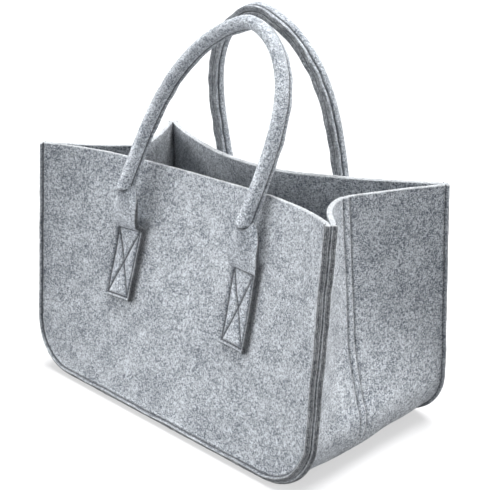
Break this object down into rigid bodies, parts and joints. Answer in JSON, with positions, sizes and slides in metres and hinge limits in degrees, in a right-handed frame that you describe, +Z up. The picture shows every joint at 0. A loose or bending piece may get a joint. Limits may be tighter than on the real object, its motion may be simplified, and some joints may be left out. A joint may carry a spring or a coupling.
{
  "type": "knitting bag",
  "caption": "Open felt tote with outward seams, folded gusset sides and a pair of swinging looped felt handles, for carrying knitting.",
  "frame": {"origin": "centre of the footprint, on the surface that the bag stands on", "axes": "+X to the right along the bag's width, seen from the front; -Y out of the front panel; +Z up"},
  "size_m": [0.413, 0.2238, 0.4129],
  "materials": {
    "felt": "melange grey wool and polyester felt",
    "thread": "grey sewing thread",
    "cord": "undyed filler cord"
  },
  "bodies": {
    "bag": {"front_panel": "felt", "back_panel": "felt", "gusset": "felt", "front_seam_thread": "thread", "back_seam_thread": "thread", "front_left_tab": "felt", "front_right_tab": "felt", "back_left_tab": "felt", "back_right_tab": "felt", "front_left_tab_stitch": "thread", "front_right_tab_stitch": "thread", "back_left_tab_stitch": "thread", "back_right_tab_stitch": "thread"},
    "front_handle": {"front_handle": "felt", "front_handle_core": "cord", "front_handle_thread": "thread"},
    "back_handle": {"back_handle": "felt", "back_handle_core": "cord", "back_handle_thread": "thread"}
  },
  "joints": [
    {"name": "front_handle_swing", "type": "hinge", "parent": "bag", "child": "front_handle", "pos_m": [0, -0.07459, 0.1872], "axis": [1, 0, 0], "range_deg": [-1.5, 120]},
    {"name": "back_handle_swing", "type": "hinge", "parent": "bag", "child": "back_handle", "pos_m": [0, 0.07645, 0.1872], "axis": [-1, 0, 0], "range_deg": [-1.5, 120]}
  ]
}
